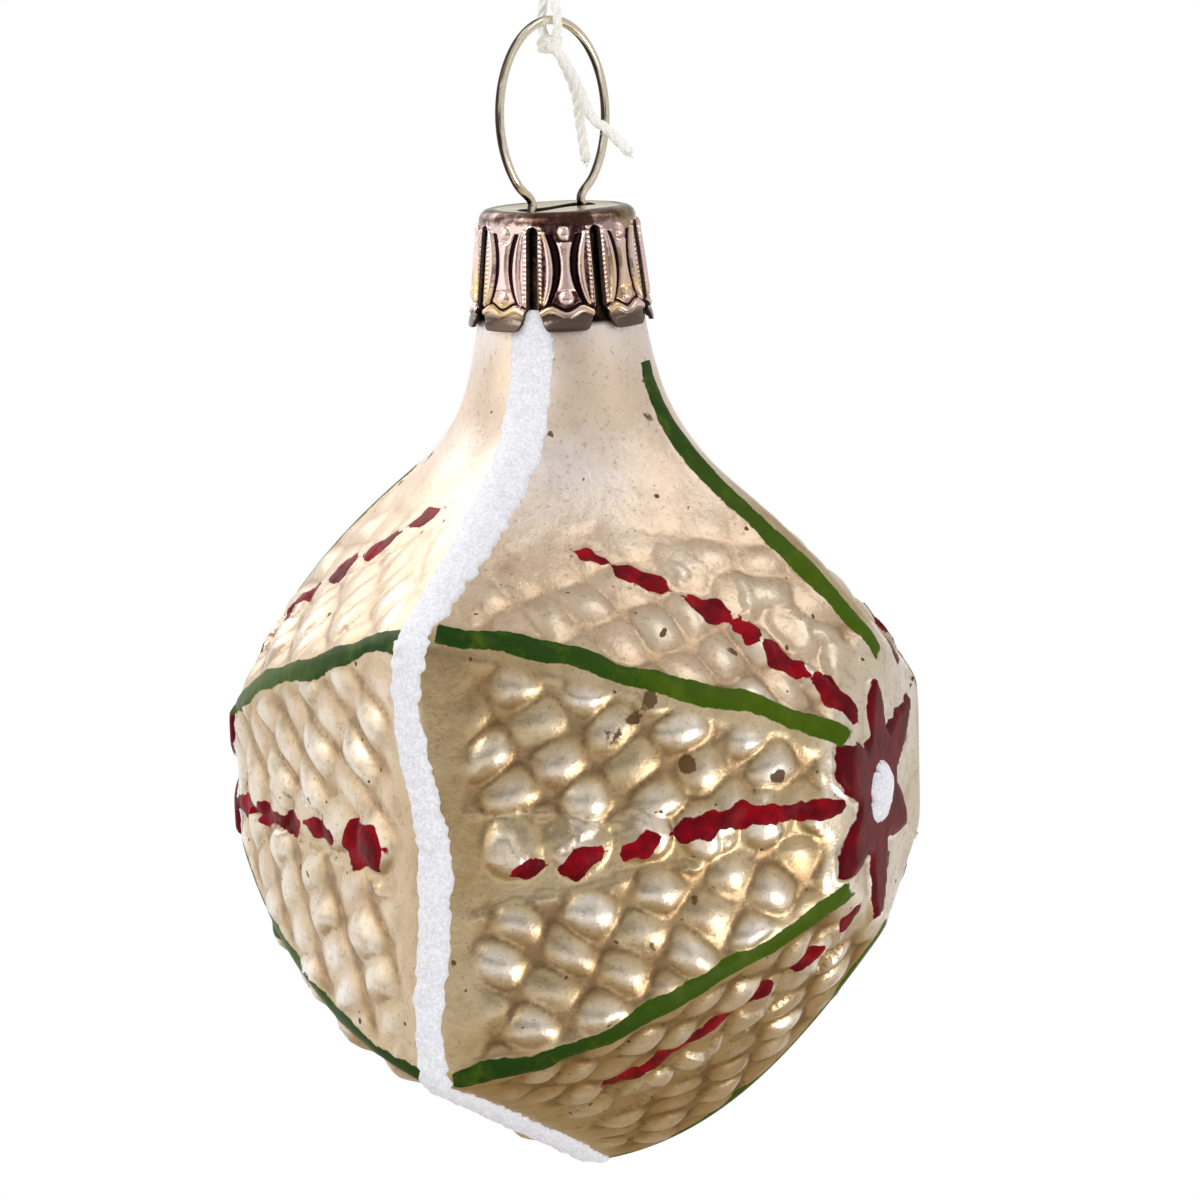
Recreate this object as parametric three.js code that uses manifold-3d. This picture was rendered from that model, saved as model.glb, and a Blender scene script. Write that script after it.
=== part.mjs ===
// Silvered glass star ornament, blown in a two-part mould, with a pressed crown cap,
// a sprung wire hanger and a cotton hanging thread.
// Millimetres, +Z up. The origin lies inside the top of the thread loop, where the hook bears on it.
import * as THREE from "three";
import { mergeVertices } from "three/addons/utils/BufferGeometryUtils.js";
import Module from "manifold-3d";

const wasm = await Module();
wasm.setup();

// Star body: two six-sided pyramids with bowed faces, base to base at the mould seam
const sides = 6;
const seamCornerRadius = 26.5;
const bossCornerRadius = 8.9;
const bossDepth = 20.1;
const faceBow = 1.6;
const footBow = 0.8;
const glassWall = 0.65;

// Quilting pressed into each face, in rows that point at the flower
const bumpHeight = 0.6;
const bumpColumn = 2.4;
const bumpPitch = 3.8;
const rowFall = 1.48;
const rowShift = 0.3;
const centreGap = 1.4;
const firstBump = 4.7;
const plainSeam = 4;
const plainBoss = 1.2;
const plainRidge = 0.6;
const quiltTopHeight = 16.5;

// Flower on each flat boss
const buttonRadius = 1.9;
const buttonHeight = 0.8;
const petalWidth = 3.2;
const petalHeight = 0.3;
const petalTipGap = 0.8;

// Frosted band on the seam
const bandWidth = 2.3;
const bandThickness = 0.4;
const bandClearance = 0.3;

// Neck, and the flare that carries it into the star
const flareFootHeight = 17.5;
const flareFootRadius = 8.6;
const flareWaistHeight = 22.5;
const flareWaistRadius = 6;
const flareSteps = 10;

// Crown cap, pressed from thin sheet
const capFootHeight = 28;
const capHeight = 7;
const capSheet = 0.25;
const capFootRadius = 5.7;
const capWaistRadius = 5.45;
const capTopRadius = 4.9;
const capShoulder = 0.7;
const capClearance = 0.3;
const tabCount = 8;
const tabGap = 0.5;
const tabGapDrop = 0.8;
const tabTurn = 1.5;
const lobeHeight = 1.5;
const lobeGap = 2.3;
const wireSlotLength = 6.3;
const wireSlotWidth = 1.3;
const capTurn = -20;

// Wire hanger
const wireDiameter = 0.55;
const loopWidth = 10;
const loopHeight = 11.4;
const legGap = 4.6;
const legSpread = 6;
const legBend = 3.4;
const legDepth = 12.5;

// Cotton thread: a knot under the wire, a loop above it and two cut tails
const threadDiameter = 0.6;
const threadClearance = 0.3;
const knotRadius = 0.85;
const knotRise = 2.2;
const strandGap = 0.9;
const loopRise = 18;
const hookRadius = 1.2;

// Sizes worked out from the ones above. Heights are above the centre of the star.
const cornerTurn = (2 * Math.PI) / sides;
const halfTurn = cornerTurn / 2;
const seamApothem = seamCornerRadius * Math.cos(halfTurn);
const bossApothem = bossCornerRadius * Math.cos(halfTurn);
const faceSlope = Math.hypot(seamApothem - bossApothem, bossDepth);
const faceAcross = bossDepth / faceSlope;
const faceDeep = (seamApothem - bossApothem) / faceSlope;
const capTopHeight = capFootHeight + capHeight;
const capGrip = capSheet + capClearance;
const neckTopHeight = capTopHeight - capGrip;
const wireTopHeight = capTopHeight + loopHeight - wireDiameter / 2;
const threadReach = wireDiameter / 2 + threadClearance + threadDiameter / 2;
const knotHeight = wireTopHeight - wireDiameter / 2 - threadClearance - knotRadius;
const knotTopHeight = wireTopHeight + knotRise;
const threadFootHeight = knotTopHeight + threadDiameter / 2 + threadClearance;
const hookHeight = threadFootHeight + loopRise;

// The highest that share * (1 - share) and share * (1 - share) ** 2 get from share 0 to share 1
const evenPeak = 1 / 4;
const nearSeamPeak = 4 / 27;

function vector(x, y, z) {
  return new THREE.Vector3(x, y, z);
}

// A closed solid from a geometry, and a geometry from a solid
function solidOf(geometry) {
  const bare = geometry.clone();
  bare.deleteAttribute("normal");
  bare.deleteAttribute("uv");
  const merged = mergeVertices(bare, 1e-4);
  const vertProperties = new Float32Array(merged.attributes.position.array);
  const triVerts = new Uint32Array(merged.index.array);
  return new wasm.Manifold(new wasm.Mesh({ numProp: 3, vertProperties, triVerts }));
}

function geometryOf(solid) {
  const mesh = solid.getMesh();
  const geometry = new THREE.BufferGeometry();
  geometry.setAttribute("position", new THREE.BufferAttribute(mesh.vertProperties, 3));
  geometry.setIndex(new THREE.BufferAttribute(mesh.triVerts, 1));
  geometry.computeVertexNormals();
  return geometry;
}

// A solid of revolution about Z, from a profile of radius and height
function turned(profile, segments) {
  return new THREE.LatheGeometry(profile, segments).rotateX(Math.PI / 2);
}

// A round rod, wire or thread along a curve
function rod(path, diameter, steps) {
  const section = new THREE.Shape().absarc(0, 0, diameter / 2, 0, 2 * Math.PI);
  return new THREE.ExtrudeGeometry(section, { extrudePath: path, steps, curveSegments: 4 });
}

// Triangles of a body whose whole skin can be seen from its centre, each turned to face outward
function skinOf(triangles) {
  const positions = [];
  for (const [a, b, c] of triangles) {
    const normal = b.clone().sub(a).cross(c.clone().sub(a));
    const ordered = normal.dot(a) > 0 ? [a, b, c] : [a, c, b];
    ordered.forEach((p) => positions.push(p.x, p.y, p.z));
  }
  const geometry = new THREE.BufferGeometry();
  geometry.setAttribute("position", new THREE.Float32BufferAttribute(positions, 3));
  return geometry;
}

// The bowed slope of a face seen from the side, from the seam (share 0) to the boss (share 1),
// in a direction whose angle from level is given. The foot of the star is fuller near the seam
// than its top. An offset moves the whole surface outward, or inward where it is negative.
function slopeAt(share, angle, offset) {
  const even = (share * (1 - share)) / evenPeak;
  const nearSeam = (share * (1 - share) ** 2) / nearSeamPeak;
  const bow = faceBow * even - footBow * Math.sin(angle) * nearSeam;
  const seam = seamApothem + offset / faceAcross;
  const boss = bossApothem + (offset * (1 - faceDeep)) / faceAcross;
  return {
    apothem: seam + (boss - seam) * share + bow * faceAcross,
    depth: (bossDepth + offset) * share + bow * faceDeep,
  };
}

// The star without its quilting
function plainStar(offset) {
  const rows = 8;
  const corner = (row, side, k) => {
    const angle = halfTurn + k * cornerTurn;
    const { apothem, depth } = slopeAt(row / rows, angle, offset);
    const radius = apothem / Math.cos(halfTurn);
    return vector(radius * Math.cos(angle), side * depth, radius * Math.sin(angle));
  };
  const triangles = [];
  for (const side of [-1, 1]) {
    for (let k = 0; k < sides; k += 1) {
      for (let row = 0; row < rows; row += 1) {
        const [low, lowNext] = [corner(row, side, k), corner(row, side, k + 1)];
        const [high, highNext] = [corner(row + 1, side, k), corner(row + 1, side, k + 1)];
        triangles.push([low, lowNext, high], [highNext, high, lowNext]);
      }
      const middle = vector(0, side * (bossDepth + offset), 0);
      triangles.push([corner(rows, side, k), corner(rows, side, k + 1), middle]);
    }
  }
  return skinOf(triangles);
}

// A point of a face. Across runs from the face's centre line, up runs from the seam to the boss,
// both measured on the flat face, and lift raises the point off the bowed surface.
function onFace(face, side, [across, up], lift = 0) {
  const share = up / faceSlope;
  const flatApothem = seamApothem + (bossApothem - seamApothem) * share;
  const angle = face * cornerTurn;
  const { apothem, depth } = slopeAt(share, angle + Math.atan(across / flatApothem), 0);
  const out = apothem + lift * faceAcross;
  const along = (across * apothem) / flatApothem;
  const x = out * Math.cos(angle) - along * Math.sin(angle);
  const z = out * Math.sin(angle) + along * Math.cos(angle);
  return vector(x, side * (depth + lift * faceDeep), z);
}

// The part of a flat polygon where a straight-line rule is not negative
function clipped(polygon, rule) {
  const kept = [];
  polygon.forEach((point, i) => {
    const next = polygon[(i + 1) % polygon.length];
    const [here, there] = [rule(point), rule(next)];
    if (here >= 0) {
      kept.push(point);
    }
    if (here * there < 0) {
      const [a, b] = point[0] + point[1] < next[0] + next[1] ? [point, next] : [next, point];
      const share = rule(a) / (rule(a) - rule(b));
      kept.push([a[0] + (b[0] - a[0]) * share, a[1] + (b[1] - a[1]) * share]);
    }
  });
  return kept;
}

// Half the width of a flat face, at a distance up from the seam
function halfWidth(up) {
  const share = up / faceSlope;
  return Math.tan(halfTurn) * (seamApothem + (bossApothem - seamApothem) * share);
}

// The cells of the quilting on half a face, each with its outline and the top of its bump.
// Rows fall away from the centre line, and each row's side bumps start nearer to it than the last.
function quiltCells() {
  const rules = [
    ([across]) => across,
    ([, up]) => up,
    ([, up]) => faceSlope - up,
    ([across, up]) => halfWidth(up) - across,
  ];
  const spare = 2;
  const columns = Math.ceil(halfWidth(0) / bumpColumn) + spare;
  const rows = Math.ceil((faceSlope + columns * rowFall) / bumpPitch) + spare;
  const cells = [];
  for (let column = 0; column <= columns; column += 1) {
    const corner = (i, j) => {
      const place = column + i;
      const side = place * bumpColumn + centreGap - j * rowShift;
      const across = place > 0 ? Math.max(0, side) : 0;
      return [across, firstBump + j * bumpPitch - (across / bumpColumn) * rowFall];
    };
    for (let row = -spare; row <= rows; row += 1) {
      const top = corner(0, row);
      const whole = [
        corner(-0.5, row - 0.5),
        corner(0.5, row - 0.5),
        corner(0.5, row + 0.5),
        corner(-0.5, row + 0.5),
      ];
      const outline = rules.reduce(clipped, whole);
      const bumped =
        top[1] > plainSeam &&
        top[1] < faceSlope - plainBoss &&
        top[0] < halfWidth(top[1]) - plainRidge;
      if (outline.length > 2) {
        cells.push({ outline, top, bumped });
      }
    }
  }
  return cells;
}

// The star's quilted skin: the same half face on both sides of each centre line, front and back
function quiltedStar() {
  const triangles = [];
  const cells = quiltCells();
  const onCentreLine = ([across]) => across < 1e-6;
  const onBoss = ([, up]) => up > faceSlope - 1e-6;
  for (const side of [-1, 1]) {
    const middle = vector(0, side * bossDepth, 0);
    for (let face = 0; face < sides; face += 1) {
      for (const hand of [-1, 1]) {
        const place = ([across, up], lift) => onFace(face, side, [hand * across, up], lift);
        for (const { outline, top, bumped } of cells) {
          const peak = place(top, bumpHeight);
          const lifted = bumped && peak.z < quiltTopHeight;
          const hub = lifted ? peak : place(outline[0]);
          outline.forEach((point, i) => {
            const ends = [point, outline[(i + 1) % outline.length]];
            const edge = ends.map((end) => place(end));
            if (!(lifted && ends.every(onCentreLine))) {
              triangles.push([hub, ...edge]);
            }
            if (ends.every(onBoss)) {
              triangles.push([middle, ...edge]);
            }
          });
        }
      }
    }
  }
  return skinOf(triangles.filter(isRealTriangle));
}

function isRealTriangle([a, b, c]) {
  return b.clone().sub(a).cross(c.clone().sub(a)).length() > 1e-7;
}

// Neck and flare, closed on the axis. An offset moves its side outward.
function neck(offset, top) {
  const foot = capFootRadius - capGrip;
  const flare = new THREE.QuadraticBezierCurve(
    new THREE.Vector2(flareFootRadius + offset, flareFootHeight),
    new THREE.Vector2(flareWaistRadius + offset, flareWaistHeight),
    new THREE.Vector2(foot + offset, capFootHeight),
  );
  const rim = capTopRadius - capGrip;
  const profile = [
    new THREE.Vector2(0, flareFootHeight),
    ...flare.getPoints(flareSteps),
    new THREE.Vector2(rim + offset, top),
    new THREE.Vector2(0, top),
  ];
  return turned(profile, 32);
}

// One petal of a flower, pointing up, as a thin raised leaf on the front boss
function petal() {
  const tip = bossCornerRadius - petalTipGap;
  const root = buttonRadius / 2;
  const belly = (tip + root) / 2;
  const leaf = new THREE.Shape();
  leaf.moveTo(0, root);
  leaf.quadraticCurveTo(petalWidth, belly, 0, tip);
  leaf.quadraticCurveTo(-petalWidth, belly, 0, root);
  const sunk = glassWall / 2;
  const geometry = new THREE.ExtrudeGeometry(leaf, {
    depth: petalHeight + sunk,
    bevelEnabled: false,
    curveSegments: 5,
  });
  return geometry.translate(0, 0, bossDepth - sunk).rotateX(Math.PI / 2);
}

// The round button at the middle of a flower
function button() {
  const sunk = glassWall / 2;
  const dome = new THREE.EllipseCurve(0, bossDepth, buttonRadius, buttonHeight, 0, Math.PI / 2);
  const profile = [
    new THREE.Vector2(0, bossDepth - sunk),
    new THREE.Vector2(buttonRadius, bossDepth - sunk),
    ...dome.getPoints(4).slice(0, -1),
    new THREE.Vector2(0, bossDepth + buttonHeight),
  ];
  return new THREE.LatheGeometry(profile, 18).rotateX(Math.PI);
}

function flower() {
  const petals = Array.from({ length: sides }, (_, k) => petal().rotateY(k * cornerTurn));
  return petals.reduce((raised, leaf) => raised.add(solidOf(leaf)), solidOf(button()));
}

// Hollow blown glass, open at the neck
function glassBody() {
  const front = flower();
  const back = solidOf(geometryOf(front).rotateZ(Math.PI));
  const outside = solidOf(quiltedStar()).add(solidOf(neck(0, neckTopHeight)));
  const inside = solidOf(plainStar(-glassWall)).add(solidOf(neck(-glassWall, capTopHeight)));
  return geometryOf(outside.add(front).add(back).subtract(inside));
}

// The band follows the seam from one side of the neck, round the foot of the star, to the other
function frostBand() {
  const skin = (offset) => solidOf(plainStar(offset)).add(solidOf(neck(offset, neckTopHeight)));
  const wide = 4 * seamCornerRadius;
  const top = capFootHeight - capClearance;
  const slab = new THREE.BoxGeometry(wide, bandWidth, wide).translate(0, 0, top - wide / 2);
  const shell = skin(bandClearance + bandThickness).subtract(skin(bandClearance));
  return geometryOf(shell.intersect(solidOf(slab)));
}

// The cap's form, filled in: a flared skirt, a round shoulder and a flat top. An inset draws its
// whole surface inward.
function capForm(inset) {
  const shoulder = capShoulder - inset;
  const arc = new THREE.EllipseCurve(
    capTopRadius - capShoulder,
    capHeight - capShoulder,
    shoulder,
    shoulder,
    0,
    Math.PI / 2,
  );
  const profile = [
    new THREE.Vector2(0, 0),
    new THREE.Vector2(capFootRadius - inset, 0),
    new THREE.Vector2(capWaistRadius - inset, lobeHeight),
    ...arc.getPoints(4),
    new THREE.Vector2(0, capHeight - inset),
  ];
  return turned(profile, tabCount * 6);
}

// The gap between two tabs, which widens at the foot between their rounded ends
function tabGapCutter() {
  const top = capHeight - tabGapDrop;
  const reach = 2 * capFootRadius;
  const gap = new THREE.Shape();
  gap.moveTo(lobeGap / 2, -lobeHeight);
  gap.lineTo(lobeGap / 2, 0);
  gap.quadraticCurveTo(tabGap / 2, 0, tabGap / 2, lobeHeight);
  gap.lineTo(tabGap / 2, top - tabGap / 2);
  gap.absarc(0, top - tabGap / 2, tabGap / 2, 0, Math.PI);
  gap.lineTo(-tabGap / 2, lobeHeight);
  gap.quadraticCurveTo(-tabGap / 2, 0, -lobeGap / 2, 0);
  gap.lineTo(-lobeGap / 2, -lobeHeight);
  const cutter = new THREE.ExtrudeGeometry(gap, {
    depth: reach,
    bevelEnabled: false,
    curveSegments: 3,
  });
  return cutter.rotateX(Math.PI / 2);
}

// The long hole in the cap's top that the wire legs pass through
function wireSlotCutter() {
  const bend = (wireSlotLength - wireSlotWidth) / 2;
  const slot = new THREE.Shape();
  slot.absarc(bend, 0, wireSlotWidth / 2, -Math.PI / 2, Math.PI / 2);
  slot.absarc(-bend, 0, wireSlotWidth / 2, Math.PI / 2, (3 * Math.PI) / 2);
  const cutter = new THREE.ExtrudeGeometry(slot, {
    depth: capHeight,
    bevelEnabled: false,
    curveSegments: 4,
  });
  return cutter.translate(0, 0, capHeight / 2);
}

// Crown cap: tabs with gaps between them, under a top with a slot for the wire
function cap() {
  const pitch = (2 * Math.PI) / tabCount;
  const turn = THREE.MathUtils.degToRad(tabTurn);
  const shell = solidOf(capForm(0)).subtract(solidOf(capForm(capSheet)));
  let gaps = solidOf(wireSlotCutter());
  for (let k = 0; k < tabCount; k += 1) {
    gaps = gaps.add(solidOf(tabGapCutter().rotateZ((k + 0.5) * pitch + turn)));
  }
  return geometryOf(shell.subtract(gaps)).translate(0, 0, capFootHeight);
}

// The wire's centre line: up one leg, through the slot, round the loop and down the other leg
function wirePath() {
  const a = (loopWidth - wireDiameter) / 2;
  const entry = capTopHeight + wireDiameter;
  const narrow = legGap / 2 / a;
  const b = (wireTopHeight - entry) / (1 + Math.sqrt(1 - narrow * narrow));
  const last = Math.PI - Math.asin(narrow);
  const legs = [
    vector(legSpread / 2, 0, capTopHeight - legDepth),
    vector(legSpread / 2, 0, capTopHeight - (legDepth + legBend) / 2),
    vector(legSpread / 2, 0, capTopHeight - legBend),
    vector(legGap / 2, 0, capTopHeight - capSheet),
  ];
  const count = 20;
  const loop = Array.from({ length: count + 1 }, (_, i) => {
    const t = last - (2 * last * i) / count;
    return vector(a * Math.sin(t), 0, wireTopHeight - b + b * Math.cos(t));
  });
  const otherLegs = legs.map((p) => vector(-p.x, p.y, p.z)).reverse();
  return new THREE.CatmullRomCurve3([...legs, ...loop, ...otherLegs]);
}

// The knot lies under the wire, and its two strands rise past the wire to a small closing turn
function knot() {
  const lump = new THREE.SphereGeometry(knotRadius, 12, 8).translate(0, 0, knotHeight);
  const side = (sign) => [
    vector(0, sign * threadReach * 0.4, knotHeight),
    vector(0, sign * threadReach, wireTopHeight - wireDiameter / 2),
    vector(0, sign * threadReach, wireTopHeight + wireDiameter),
  ];
  const top = vector(0, 0, knotTopHeight);
  const path = new THREE.CatmullRomCurve3([...side(-1), top, ...side(1).reverse()]);
  return geometryOf(solidOf(lump).add(solidOf(rod(path, threadDiameter, 16))));
}

// The hanging loop: up one strand, over the hook and down the other, back to the knot
function threadLoop() {
  const reach = hookRadius + threadDiameter / 2;
  const hook = hookHeight - reach;
  const side = (sign) => [
    vector(0, (sign * strandGap) / 2, threadFootHeight),
    vector(0, (sign * (strandGap + reach)) / 3, threadFootHeight + loopRise / 4),
    vector(0, sign * reach * 0.8, threadFootHeight + (loopRise * 5) / 8),
    vector(0, sign * reach, hook),
    vector(0, sign * reach * Math.SQRT1_2, hook + reach * Math.SQRT1_2),
  ];
  const top = vector(0, 0, hookHeight);
  return rod(new THREE.CatmullRomCurve3([...side(-1), top, ...side(1).reverse()]), threadDiameter, 28);
}

// The cut ends of the thread, from the knot down inside the wire loop and out past its side.
// The points are offsets from the middle of the knot.
const innerTail = [
  [0.76, -0.29, -0.77],
  [1.7, -0.76, -2.82],
  [2.15, -0.8, -4.37],
  [2.39, -0.85, -5.68],
  [2.55, -0.99, -7.11],
];
const outerTail = [
  [-0.23, -0.76, -0.77],
  [0.87, -1.37, -2.64],
  [1.31, -1.91, -4.37],
  [1.5, -2.92, -5.26],
  [1.68, -4.17, -6.63],
];

function threadTail(offsets) {
  const points = offsets.map(([x, y, z]) => vector(x, y, knotHeight + z));
  return rod(new THREE.CatmullRomCurve3(points), threadDiameter, 6);
}

function material(color, roughness, metalness) {
  return new THREE.MeshStandardMaterial({ color, roughness, metalness });
}

const silveredGlass = material(0xcbbd9f, 0.3, 0.8);
const frosting = material(0xe6e7ee, 0.95, 0);
const capSheetMetal = material(0xc9aaa4, 0.35, 1);
const steelWire = material(0xb9b2a4, 0.3, 1);
const cotton = material(0xece7dc, 0.9, 0);

function piece(name, geometry, finish) {
  const mesh = new THREE.Mesh(geometry, finish);
  mesh.name = name;
  return mesh;
}

const star = new THREE.Group();
star.add(
  piece("glass_body", glassBody(), silveredGlass),
  piece("frost_band", frostBand(), frosting),
  piece("thread_tail_inner", threadTail(innerTail), cotton),
  piece("thread_tail_outer", threadTail(outerTail), cotton),
);

// The cap sits turned on the neck, and the wire and thread are lined up with its slot
const crown = new THREE.Group();
crown.rotation.z = THREE.MathUtils.degToRad(capTurn);
crown.add(
  piece("cap", cap(), capSheetMetal),
  piece("hanger", rod(wirePath(), wireDiameter, 56), steelWire),
  piece("thread_knot", knot(), cotton),
  piece("thread_loop", threadLoop(), cotton),
);
star.add(crown);
star.position.z = threadDiameter / 2 - hookHeight;

const ornament = new THREE.Group();
ornament.add(star);

export default ornament;
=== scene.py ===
"""Looks of a hanging star ornament: quilted gold glass with painted lines and frosting,
a pressed crown cap, a steel wire loop and a cotton thread."""
from math import asin, atan2, cos, hypot, pi, radians, sin, sqrt, tan

import bmesh
import bpy
import numpy as np
from mathutils import Matrix, Vector


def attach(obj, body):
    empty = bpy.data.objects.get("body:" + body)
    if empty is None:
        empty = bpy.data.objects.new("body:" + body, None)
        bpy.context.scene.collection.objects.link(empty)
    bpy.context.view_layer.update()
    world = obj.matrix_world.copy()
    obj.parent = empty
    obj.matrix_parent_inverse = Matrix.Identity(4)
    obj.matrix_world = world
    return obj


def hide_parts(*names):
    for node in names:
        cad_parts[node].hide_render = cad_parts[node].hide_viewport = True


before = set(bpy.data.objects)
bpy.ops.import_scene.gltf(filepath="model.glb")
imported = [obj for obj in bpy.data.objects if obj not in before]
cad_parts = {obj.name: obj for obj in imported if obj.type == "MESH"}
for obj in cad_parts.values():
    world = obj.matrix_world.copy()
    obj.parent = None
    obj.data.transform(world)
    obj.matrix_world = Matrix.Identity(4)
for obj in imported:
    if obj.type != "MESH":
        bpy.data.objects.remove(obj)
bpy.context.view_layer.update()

MM = 0.001
STAR_HEIGHT = -66.625  # the star's centre in the row frame, mm
CENTRE = Vector((0, 0, STAR_HEIGHT * MM))

# Camera, fitted to the star's corners: its turn, tilt and roll, and its place right of, above
# and back from the star's centre, mm
VIEW_TURN, VIEW_TILT, VIEW_ROLL = -1.18826192, 0.205133681, -0.0367853257
VIEW_PLACE = (1.3596, 10.3335, 198.94)
LENS = 94.77
SENSOR = 36

# Star, mm from its centre. Its faces lean towards Y and -Y, and its neck points up.
SEAM_CORNER = 26.5
BOSS_CORNER = 8.9
BOSS_DEPTH = 20.1
FACE_BOW = 1.6
FOOT_BOW = 0.8
SEAM_FLAT = SEAM_CORNER * cos(pi / 6)
BOSS_FLAT = BOSS_CORNER * cos(pi / 6)
SLOPE = hypot(SEAM_FLAT - BOSS_FLAT, BOSS_DEPTH)
ACROSS = BOSS_DEPTH / SLOPE
DEEP = (SEAM_FLAT - BOSS_FLAT) / SLOPE
SIXTH = pi / 3
NECK_TOP = 34.45
NECK_RIM = 4.35
GLASS_WALL = 0.65
FLARE = ((8.6, 17.5), (6.0, 22.5), (5.15, 28.0))

FRONT, BACK = 0, 1  # halves of the star

# Quilting, mm on a face: u is across from the middle line, v is up from the seam. The front
# half's sizes come first, then the back half's, as each was pressed by its own mould half.
ROW_PITCH = (3.85, 4.2)
ROW_LEAN = (0.57, 0.48)
FIRST_ROW = (7.1, 8.1)
BUMP_PITCH = (2.3, 2.35)
FIRST_SIDE = (3.8, 2.9)
SIDE_SHIFT = (0.6, 0.4)
DOME_PITCH = 3.8
FIRST_DOME = 4.6
DOME_OFFSET = 0.75
BUMP = 0.55
GROOVE = 0.42
QUILT_EDGE = (0.5, 1.6)  # the bumps come up over this, in from a face's edge
QUILT_FOOT = (1.8, 3.4)  # and over this, up from the seam
QUILT_END = (22.6, 24.4)  # and die out over this, below the boss
UPPER_FACES = (1, 2)

# Paint, mm
FLOWER = (-2.7, 0.3)  # the painted middle of each flower lies off the middle of its boss
FLOWER_HEART = 4.0
PETAL_START = 0.4
PETAL_LENGTH = 7.2
PETAL_HALF = 1.7
PETAL_RISE = 0.3
DASH_TOP = 25.4
LINE_HALF = 0.68
LINE_ENDS = (0.8, 20.0)  # from the seam's plane
PAINT = 0.07
PAINT_TOP = 24
NO_PAINT = -3

# Cap, wire and thread, mm above the star's centre, in the cap's own turned frame
CAP_TURN = radians(-20)
CAP_FOOT = 28.0
CAP_HEIGHT = 7.0
CAP_SHEET = 0.25
CAP_FOOT_R = 5.7
CAP_WAIST_R = 5.45
CAP_TOP_R = 4.9
CAP_SHOULDER = 0.7
TABS = 8
TAB_GAP = 0.75
CAP_GAP_TOP = 6.2
TAB_TURN = radians(1.5)
# painted shade: how dark the recesses of each tab are painted, tab by tab
TAB_RECESS_SHADE = (0.5, 0.8, 0.35, 0.7, 0.12, 1.0, 0.5, 0.3)  # how dark each tab's recesses are
LOBE_HEIGHT = 1.5
LOBE_GAP = 2.3
WIRE = 0.55
WIRE_SLOT = (6.3, 1.8)
THREAD = 0.6
THREAD_LAY = 0.42  # turns of its plies in a mm
PLIES = 3
FIBRE = 0.7
KNOT = (0.0, 0.0, 44.7)


def row(points):
    """Points in mm from the star's centre, as metres in the row frame."""
    return (np.asarray(points, float) + (0, 0, STAR_HEIGHT)) * MM


def height(z):
    """A height in mm above the star's centre, as metres in the row frame."""
    return (z + STAR_HEIGHT) * MM


def turned(points):
    """Points in the cap's own frame, turned to stand as the cap does."""
    p = np.asarray(points, float)
    c, s = cos(CAP_TURN), sin(CAP_TURN)
    return np.stack([p[..., 0] * c - p[..., 1] * s, p[..., 0] * s + p[..., 1] * c, p[..., 2]], -1)


# Camera

def placed(name, data):
    obj = bpy.data.objects.new(name, data)
    bpy.context.scene.collection.objects.link(obj)
    return obj


def set_camera():
    flat = cos(VIEW_TILT)
    back = Vector((sin(VIEW_TURN) * flat, -cos(VIEW_TURN) * flat, sin(VIEW_TILT)))
    level = Vector((cos(VIEW_TURN), sin(VIEW_TURN), 0))
    upright = back.cross(level)
    right = level * cos(VIEW_ROLL) + upright * sin(VIEW_ROLL)
    up = upright * cos(VIEW_ROLL) - level * sin(VIEW_ROLL)
    data = bpy.data.cameras.new("camera")
    data.lens = LENS
    data.sensor_width = SENSOR
    data.clip_start = 0.01
    camera = placed("camera", data)
    off = right * VIEW_PLACE[0] + up * VIEW_PLACE[1] + back * VIEW_PLACE[2]
    turn = Matrix((right, up, back)).transposed().to_4x4()
    camera.matrix_world = Matrix.Translation(CENTRE + off * MM) @ turn
    bpy.context.scene.camera = camera


set_camera()


# Mesh tools

def mesh_object(name, points, faces):
    mesh = bpy.data.meshes.new(name)
    mesh.from_pydata(points, [], faces)
    mesh.polygons.foreach_set("use_smooth", [True] * len(mesh.polygons))
    mesh.update()
    return placed(name, mesh)


def piece(name, points, faces, body, nodes=()):
    """A mesh piece in the row frame, from points in mm round the star's centre."""
    obj = mesh_object(name, row(points).tolist(), [tuple(map(int, f)) for f in faces])
    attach(obj, body)
    if nodes:
        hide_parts(*nodes)
    return obj


def measure(obj, **layers):
    """Keeps numbers for each point of a mesh, for its material to read."""
    for name, values in layers.items():
        layer = obj.data.attributes.new(name, "FLOAT", "POINT")
        layer.data.foreach_set("value", np.asarray(values, np.float32))


def grid_faces(rows, columns, first=0, around=True, flipped=False):
    """Four-sided faces between rows of points, with each row closed on itself if around is true."""
    starts = first + np.arange(rows - 1) * columns
    a, b = np.meshgrid(starts, np.arange(columns if around else columns - 1), indexing="ij")
    after = a + (b + 1) % columns
    quads = np.stack([a + b, after, after + columns, a + b + columns], -1).reshape(-1, 4)
    return quads[:, [0, 3, 2, 1]] if flipped else quads


def round_top(far):
    """A dome one high, by how far out from its middle a place is."""
    return np.sqrt(np.clip(1 - far ** 2, 0, 1))


def lumps(points, size, seed=0):
    """Smooth random numbers from 0 to 1, with lumps of the given size in mm."""
    q = np.asarray(points, float) / size + seed * 7.31
    cell = np.floor(q)
    f = q - cell
    f = f * f * (3 - 2 * f)
    total = np.zeros(len(q))
    for corner in np.ndindex(2, 2, 2):
        c = cell + corner
        h = np.sin(c @ (12.9898, 78.233, 37.719) + seed * 3.7) * 43758.5453
        share = np.prod(np.where(np.array(corner) == 1, f, 1 - f), axis=1)
        total += share * (h - np.floor(h))
    return total


def step_between(low, high, x):
    t = np.clip((x - low) / (high - low), 0, 1)
    return t * t * (3 - 2 * t)


def gone_along(line):
    """How far along a line each of its points is."""
    return np.r_[0, np.cumsum(np.linalg.norm(np.diff(line, axis=0), axis=1))]


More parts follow.
